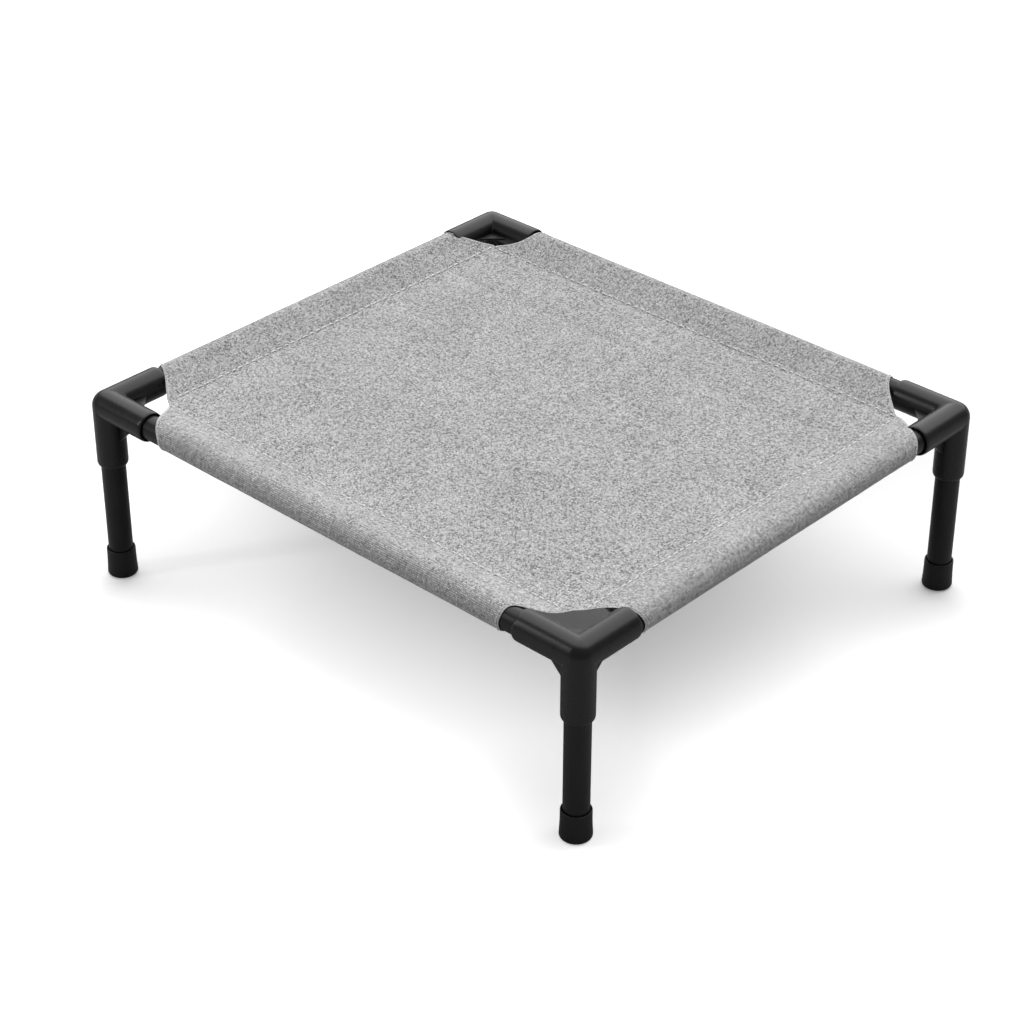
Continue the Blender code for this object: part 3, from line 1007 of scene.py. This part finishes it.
def seam_lines(side, shape, cell):
    """Places of the mesh lines along one side's seam, and the cells cut away at its two ends."""
    high = half_length(side) - shape.inset
    start, start_away = zone_lines(CUTS[side][0][0], shape.inset)
    end, end_away = zone_lines(CUTS[side][1][0], shape.inset)
    inner = 2 * (high - ZONE)
    count = round(inner / cell)
    lines = [-high + offset for offset in start]
    lines += [-high + ZONE + inner * i / count for i in range(1, count)]
    lines += [high - offset for offset in reversed(end)]
    return lines, (start_away, end_away)


def puckers(level, run, half):
    """Height of the short waves along the two seams that lie at half from the middle, on each side."""
    edge = half - abs(level)
    if edge >= PUCKER_LIMIT:
        return 0.0
    wander = 2.0 * noise.noise(Vector((run * 30, abs(level), 1.7)))
    fade = math.exp(-edge / PUCKER_REACH) * min(1.0, edge / PUCKER_RISE)
    return PUCKER_HEIGHT * fade * math.sin(run / PUCKER_RUN + wander)


def corner_folds(x, y, corner, shape):
    """Height of the folds that fan out over the panel from one corner."""
    x_sign, y_sign = CORNER_SIGNS[corner]
    offset = Vector((x_sign * shape.half_x - x, y_sign * shape.half_y - y))
    reach = offset.length
    if not 1e-6 < reach < FOLD_LIMIT:
        return 0.0
    angle = math.atan2(abs(offset.y), abs(offset.x))
    fade = math.exp(-reach / FOLD_REACH) * min(1.0, max(0.0, reach - FOLD_START) / FOLD_RISE)
    return FOLD_HEIGHT * fade * math.sin(angle * FOLD_WAVES + x_sign * 1.3 + y_sign * 0.7)


def panel_relief(x, y, shape):
    """Height of the panel above the seams: a slight sag, puckers along the seams and corner folds."""
    across = max(0.0, 1 - (x / shape.half_x) ** 2)
    along = max(0.0, 1 - (y / shape.half_y) ** 2)
    height = -shape.sag * (across * along) ** 0.5
    height += puckers(y, x, shape.half_y) + puckers(x, y, shape.half_x)
    height += sum(corner_folds(x, y, corner, shape) for corner in CORNERS)
    return height + PANEL_UNEVEN * noise.noise(Vector((x * 9, y * 9, 0.3)))


def sleeve_relief(side, position, out, shape):
    """Height of a sleeve's cloth above its plain fold; it dies out towards the lap's seam."""
    number = SIDES.index(side)
    rough = noise.noise(Vector((position * 22, out * 30, number * 7.3)))
    fine = noise.noise(Vector((position * 90, out * 60, number * 3.1 + 20)))
    height = (SLEEVE_ROUGH * rough + SLEEVE_FINE * fine) * min(1.0, out / SLEEVE_RISE)
    return height * min(1.0, max(0.0, (shape.closed - out) / shape.under_slope))


class SlingGrid:
    """The sling's mesh in the making, as a grid in its flat cut that is folded into place."""

    def __init__(self, cloth, shape):
        self.shape = shape
        self.points, self.flats, self.faces = [], [], []
        self.index = {}              # the panel's points by (column, row)
        self.gone = set()            # the panel's points that are cut away
        self.moved = {}              # flat places of those that lie on a corner's cut
        self.lines, self.away = {}, {}
        for side in SIDES:
            self.lines[side], self.away[side] = seam_lines(side, shape, cloth.cell)
        self.columns = len(self.lines["front"]) - 1
        self.rows = len(self.lines["right"]) - 1
        for corner in CORNERS:
            self.cut_corner(corner)
        self.add_panel()
        for side in SIDES:
            self.add_sleeve(side)

    def add_point(self, place, flat):
        self.points.append(tuple(place))
        self.flats.append(flat)
        return len(self.points) - 1

    def cut_corner(self, corner):
        """Leaves out the cells at a corner and moves their neighbours onto the line of the cut."""
        x_sign, y_sign = CORNER_SIGNS[corner]
        notch = NOTCHES[corner]
        side_x, end_x, side_y, end_y = SEAMS_AT[corner]
        across, along = self.away[side_x][end_x], self.away[side_y][end_y]
        inset = self.shape.inset

        def key(i, j):
            return (self.columns - i if x_sign > 0 else i), (self.rows - j if y_sign > 0 else j)

        def move(i, j, start, share_along):
            """Puts a point on the line from a start to the notch, both from the corner point."""
            self.moved[key(i, j)] = (
                x_sign * (HALF_X - start[0] + (start[0] - notch[0]) * share_along),
                y_sign * (HALF_Y - start[1] + (start[1] - notch[1]) * share_along))

        self.gone.update(key(i, j) for i in range(across) for j in range(along))
        if not across or not along:
            across = along = 0
        for j in range(1, along):
            move(across, j, (CUTS[side_x][end_x][0], inset), j / along)
        for i in range(1, across):
            move(i, along, (inset, CUTS[side_y][end_y][0]), i / across)
        move(across, along, notch, 1.0)

    def add_panel(self):
        """The middle of the cloth, whose mesh lines run from each seam to the one opposite."""
        front, right = self.lines["front"], self.lines["right"]
        rear = [-place for place in reversed(self.lines["rear"])]
        left = [-place for place in reversed(self.lines["left"])]
        for j in range(self.rows + 1):
            for i in range(self.columns + 1):
                if (i, j) in self.gone:
                    continue
                x = front[i] + (rear[i] - front[i]) * j / self.rows
                y = left[j] + (right[j] - left[j]) * i / self.columns
                x, y = self.moved.get((i, j), (x, y))
                height = RAIL_Z + panel_relief(x, y, self.shape)
                self.index[i, j] = self.add_point((x, y, height), (x, y))
        for j in range(self.rows):
            for i in range(self.columns):
                corners = [(i, j), (i + 1, j), (i + 1, j + 1), (i, j + 1)]
                if all(corner in self.index for corner in corners):
                    self.faces.append(tuple(self.index[corner] for corner in corners))

    def seam(self, side):
        """The panel's points along one seam, in the direction along its side."""
        columns, rows = self.columns, self.rows
        key, count = {
            "front": (lambda n: (n, 0), columns), "right": (lambda n: (columns, n), rows),
            "rear": (lambda n: (columns - n, rows), columns), "left": (lambda n: (0, rows - n), rows),
        }[side]
        start, end = self.away[side]
        return [self.index[key(n)] for n in range(start, count - end + 1)]

    def add_sleeve(self, side):
        """The cloth from one seam, over and round its rail, and back under the panel."""
        shape = self.shape
        origin, along, inward = side_frame(side)
        half = half_length(side)
        previous = self.seam(side)
        run = [Vector((*self.flats[number], 0.0)).dot(along) for number in previous]
        for out in shape.rows()[1:]:
            (inside, up), outward = shape.fold(out)
            start = -half + shape.cut(side, 0, out)
            end = half - shape.cut(side, 1, out)
            current = []
            for place in run:
                position = start + (end - start) * (place - run[0]) / (run[-1] - run[0])
                lift = sleeve_relief(side, position, out, shape)
                on_rail = origin + along * position
                folded = on_rail + inward * (inside + outward[0] * lift)
                folded.z += up + outward[1] * lift
                flat = on_rail + inward * (shape.inset - out)
                current.append(self.add_point(folded, (flat.x, flat.y)))
            for k in range(len(current) - 1):
                self.faces.append((current[k], current[k + 1], previous[k + 1], previous[k]))
            previous = current


def from_cut_edges(flats, faces, samples=4, chunks=40):
    """Distance of each point from the nearest cut edge, measured in the flat cut."""
    used = Counter()
    for face in faces:
        used.update(tuple(sorted(pair)) for pair in zip(face, np.roll(face, -1)))
    edges = np.array([key for key, count in used.items() if count == 1])
    starts, ends = flats[edges[:, 0]], flats[edges[:, 1]]
    sampled = np.concatenate([starts + (ends - starts) * i / samples for i in range(samples)])
    nearest = np.full(len(flats), 1.0)
    for chunk in np.array_split(sampled, chunks):
        gap = np.linalg.norm(flats[:, None, :] - chunk[None], axis=2).min(axis=1)
        nearest = np.minimum(nearest, gap)
    return nearest


def flat_area(flats, faces):
    """Area of the cloth as it is cut, from the shoelace formula on each face."""
    corners = flats[faces]
    ahead = np.roll(corners, -1, axis=1)
    doubled = corners[:, :, 0] * ahead[:, :, 1] - corners[:, :, 1] * ahead[:, :, 0]
    return abs(doubled.sum(axis=1)).sum() / 2


def sling_mesh(flats, faces, points, shape):
    """The folded mesh with what its material reads: flat places, stretch and distance to the cut."""
    mesh = bpy.data.meshes.new("sling")
    mesh.from_pydata(points, [], faces.tolist())
    loops = np.zeros(len(mesh.loops), dtype=np.int32)
    mesh.loops.foreach_get("vertex_index", loops)
    layer = mesh.uv_layers.new(name="flat_cut")
    layer.data.foreach_set("uv", flats[loops].astype(np.float32).ravel())
    beyond = np.maximum(abs(flats[:, 0]) - shape.half_x, abs(flats[:, 1]) - shape.half_y)
    stretch = [shape.stretch(out) for out in beyond]
    for name, values in (("from_cut", from_cut_edges(flats, faces)), ("stretch", stretch)):
        attribute = mesh.attributes.new(name, "FLOAT", "POINT")
        attribute.data.foreach_set("value", np.asarray(values, dtype=np.float32))
    mesh.shade_smooth()
    return mesh


class PETBED_OT_sling(bpy.types.Operator):
    """Build the cloth sling, folded round the rails from its flat cut"""
    bl_idname = "petbed.sling"
    bl_label = "Sling"
    bl_options = {"REGISTER", "UNDO"}

    def execute(self, context):
        cloth = context.scene.petbed_cloth
        shape = SlingShape(cloth)
        grid = SlingGrid(cloth, shape)
        flats, faces = np.array(grid.flats), np.array(grid.faces)
        mesh = sling_mesh(flats, faces, grid.points, shape)
        piece = add_piece("sling", mesh, woven_cloth(cloth, shape), "sling_cloth", "fabric_sling")
        body = piece.modifiers.new("thickness", "SOLIDIFY")
        body.thickness = cloth.thickness
        body.offset = 0.0
        soften = piece.modifiers.new("soften", "SUBSURF")
        soften.levels = soften.render_levels = 1
        piece["flat_area"] = float(flat_area(flats, faces))
        piece["flat_width"] = 2 * (shape.half_x + shape.total)
        piece["flat_length"] = 2 * (shape.half_y + shape.total)
        return {"FINISHED"}


# Stitching

# Points along one stitch: share of its length, and height above the cloth in thicknesses of thread
SEAM_STITCH = ((0.0, -0.4), (0.08, 0.1), (0.3, 0.4), (0.7, 0.4), (0.92, 0.1), (1.0, -0.4))
HEM_STITCH = ((0.0, -0.4), (0.15, 0.15), (0.5, 0.4), (0.85, 0.15), (1.0, -0.4))
SEAM_ENDS = 2 * MM           # cloth between a seam's last stitch and the sleeve's cut
SEAM_WANDER = 0.4 * MM       # how far a seam's stitches stray along it
SEAM_SLANT = 0.25 * MM       # and across it, from end to end
SEAM_UNEVEN = 0.12           # how much their lengths differ
HEM_STEP = 3.4 * MM          # from one hem stitch to the next
HEM_COVER = 0.78             # share of that step with thread on top
HEM_INSIDE = 3.2 * MM        # from the cut edge to the hem's stitches
HEM_ENDS = 4 * MM            # cloth between the seam and the first hem stitch
HEM_THREAD = 0.7             # hem thread's thickness, as a share of the seams'
ENDS_THIN = 0.6              # thickness of a stitch where it dips into the cloth


def thread_curve(name, runs, thickness):
    """A curve object's data, with one spline for each short run of thread."""
    curve = bpy.data.curves.new(name, "CURVE")
    curve.dimensions = "3D"
    curve.bevel_depth = thickness / 2
    curve.bevel_resolution = 2
    curve.resolution_u = 3
    curve.use_fill_caps = True
    for run in runs:
        spline = curve.splines.new("NURBS")
        spline.points.add(len(run) - 1)
        for number, (point, place) in enumerate(zip(spline.points, run)):
            point.co = (*place, 1.0)
            point.radius = ENDS_THIN if number in (0, len(run) - 1) else 1.0
        spline.order_u = 3
        spline.use_endpoint_u = True
    return curve


def on_cloth(tree, place, ray, reach):
    """Where a ray through a place, from a little before it, first meets the cloth."""
    hit = tree.ray_cast(place - ray * reach, ray, 2 * reach)[0]
    if hit is None:
        raise RuntimeError("a stitch at %s misses the cloth" % (tuple(round(v, 4) for v in place),))
    return hit


def seam_stitches(side, shape, cloth, tree, ray):
    """Runs of thread along one seam, seen from the side that the ray comes from."""
    origin, along, inward = side_frame(side)
    half = half_length(side)
    knot = 0 if ray.z < 0 else -1
    start = -half + max(CUTS[side][0][knot], shape.inset) + SEAM_ENDS
    end = half - max(CUTS[side][1][knot], shape.inset) - SEAM_ENDS
    step = cloth.stitch_length + cloth.stitch_gap
    runs = []
    for number in range(int((end - start) / step)):
        wander = noise.noise(Vector((number * 0.7, SIDES.index(side) * 5.0, ray.z)))
        first = start + number * step + SEAM_WANDER * wander
        span = cloth.stitch_length * (1 + SEAM_UNEVEN * wander)
        run = []
        for share_along, height in SEAM_STITCH:
            sideways = SEAM_SLANT * wander * (share_along - 0.5)
            place = origin + along * (first + span * share_along) + inward * (shape.inset + sideways)
            run.append(on_cloth(tree, place, ray, 10 * MM) - ray * height * cloth.thread)
        runs.append(run)
    return runs


def hem_stitches(side, end, shape, cloth, tree):
    """Runs of thread round a sleeve's end, a little inside its cut edge."""
    origin, along, inward = side_frame(side)
    sign = 1 if end == 0 else -1
    runs = []
    for number in range(int((shape.closed - 2 * HEM_ENDS) / HEM_STEP)):
        run = []
        for share_along, height in HEM_STITCH:
            out = HEM_ENDS + (number + HEM_COVER * share_along) * HEM_STEP
            (inside, up), outward = shape.fold(out)
            position = sign * (-half_length(side) + shape.cut(side, end, out) + HEM_INSIDE)
            place = origin + along * position + inward * inside + Vector((0.0, 0.0, up))
            away = inward * outward[0] + Vector((0.0, 0.0, outward[1]))
            run.append(on_cloth(tree, place, -away, 4 * MM) + away * height * HEM_THREAD * cloth.thread)
        runs.append(run)
    return runs


class PETBED_OT_stitching(bpy.types.Operator):
    """Sew the seams along the sleeves and the hems round their ends"""
    bl_idname = "petbed.stitching"
    bl_label = "Stitching"
    bl_options = {"REGISTER", "UNDO"}

    def execute(self, context):
        cloth = context.scene.petbed_cloth
        shape = SlingShape(cloth)
        sling = bpy.data.objects["sling"]
        context.view_layer.update()
        tree = BVHTree.FromObject(sling, context.evaluated_depsgraph_get())
        down = Vector((0.0, 0.0, -1.0))
        seam_look = sewing_thread(cloth)
        hem_look = hem_thread(cloth)
        for side in SIDES:
            runs = seam_stitches(side, shape, cloth, tree, down)
            runs += seam_stitches(side, shape, cloth, tree, -down)
            curve = thread_curve(side + "_seam", runs, cloth.thread)
            add_piece(side + "_seam_stitches", curve, seam_look, "sling_cloth")
            runs = hem_stitches(side, 0, shape, cloth, tree) + hem_stitches(side, 1, shape, cloth, tree)
            curve = thread_curve(side + "_hem", runs, cloth.thread * HEM_THREAD)
            add_piece(side + "_hem_stitches", curve, hem_look, "sling_cloth")
        return {"FINISHED"}


# Stage

FLOOR_HALF = 30.0            # half the floor's side, far past what the camera sees


def add_light(name, kind, place, towards, **values):
    lamp = bpy.data.lights.new(name, kind)
    for key, value in values.items():
        setattr(lamp, key, value)
    light = bpy.data.objects.new(name, lamp)
    light.location = place
    light.rotation_euler = (Vector(towards) - Vector(place)).to_track_quat("-Z", "Y").to_euler()
    bpy.context.scene.collection.objects.link(light)
    return light


class PETBED_OT_stage(bpy.types.Operator):
    """Set up the floor, the lights, the surroundings and the camera"""
    bl_idname = "petbed.stage"
    bl_label = "Stage"
    bl_options = {"REGISTER", "UNDO"}

    def execute(self, context):
        stage = context.scene.petbed_stage
        mesh = bpy.data.meshes.new("floor")
        corners = [(x * FLOOR_HALF, y * FLOOR_HALF, 0.0) for x, y in CORNER_SIGNS.values()]
        mesh.from_pydata(corners, [], [(0, 1, 2, 3)])
        mesh.materials.append(plain_floor(stage))
        floor = bpy.data.objects.new("floor", mesh)
        context.scene.collection.objects.link(floor)
        context.scene.world = surroundings(stage)
        self.add_lights(stage)
        self.add_camera(context, stage)
        context.scene.view_settings.view_transform = "Standard"
        return {"FINISHED"}

    def add_lights(self, stage):
        side = Vector((math.sin(stage.overhead_azimuth), -math.cos(stage.overhead_azimuth), 0.0))
        tilt = stage.overhead_tilt
        above = side * math.sin(tilt) + Vector((0.0, 0.0, math.cos(tilt)))
        add_light(
            "overhead", "SUN", above * 4, (0, 0, 0), energy=stage.overhead, angle=stage.overhead_spread)
        near_corner = Vector((HALF_X, -HALF_Y, RAIL_Z))
        add_light(
            "strip", "AREA", near_corner + Vector(stage.strip_place), near_corner, energy=stage.strip,
            shape="RECTANGLE", size=stage.strip_width, size_y=stage.strip_height)

    def add_camera(self, context, stage):
        azimuth, elevation, roll = stage.camera_azimuth, stage.camera_elevation, stage.camera_roll
        back = Vector((
            math.sin(azimuth) * math.cos(elevation), -math.cos(azimuth) * math.cos(elevation),
            math.sin(elevation)))
        right = Vector((math.cos(azimuth), math.sin(azimuth), 0.0))
        up = back.cross(right)
        turned_right = right * math.cos(roll) + up * math.sin(roll)
        turned_up = up * math.cos(roll) - right * math.sin(roll)
        lens = bpy.data.cameras.new("camera")
        lens.sensor_width = 36.0
        lens.lens = stage.focal_length
        lens.clip_end = 200.0
        camera = bpy.data.objects.new("camera", lens)
        turn = Matrix((turned_right, turned_up, back)).transposed()
        camera.matrix_world = Matrix.Translation(stage.camera_place) @ turn.to_4x4()
        context.scene.collection.objects.link(camera)
        context.scene.camera = camera


class PETBED_PT_panel(bpy.types.Panel):
    """Builds the bed a group of pieces at a time"""
    bl_idname = "PETBED_PT_panel"
    bl_label = "Elevated Pet Bed"
    bl_space_type = "VIEW_3D"
    bl_region_type = "UI"
    bl_category = "Pet Bed"

    def draw(self, context):
        column = self.layout.column(align=True)
        for operator in OPERATORS:
            column.operator(operator.bl_idname)
        scene = context.scene
        for settings in (scene.petbed_frame, scene.petbed_cloth, scene.petbed_stage):
            box = self.layout.box()
            for name in settings.__annotations__:
                box.prop(settings, name)


SETTINGS = (FrameSettings, ClothSettings, StageSettings)
OPERATORS = (
    PETBED_OT_connectors, PETBED_OT_tubes, PETBED_OT_foot_caps, PETBED_OT_sling, PETBED_OT_stitching,
    PETBED_OT_stage)
CLASSES = SETTINGS + OPERATORS + (PETBED_PT_panel,)


def register():
    for each in CLASSES:
        bpy.utils.register_class(each)
    bpy.types.Scene.petbed_frame = bpy.props.PointerProperty(type=FrameSettings)
    bpy.types.Scene.petbed_cloth = bpy.props.PointerProperty(type=ClothSettings)
    bpy.types.Scene.petbed_stage = bpy.props.PointerProperty(type=StageSettings)


def unregister():
    del bpy.types.Scene.petbed_stage
    del bpy.types.Scene.petbed_cloth
    del bpy.types.Scene.petbed_frame
    for each in reversed(CLASSES):
        bpy.utils.unregister_class(each)


def main():
    register()
    bpy.ops.petbed.stage()
    bpy.ops.petbed.connectors()
    bpy.ops.petbed.tubes()
    bpy.ops.petbed.foot_caps()
    bpy.ops.petbed.sling()
    bpy.ops.petbed.stitching()
    bpy.context.view_layer.update()


if __name__ == "__main__":
    main()
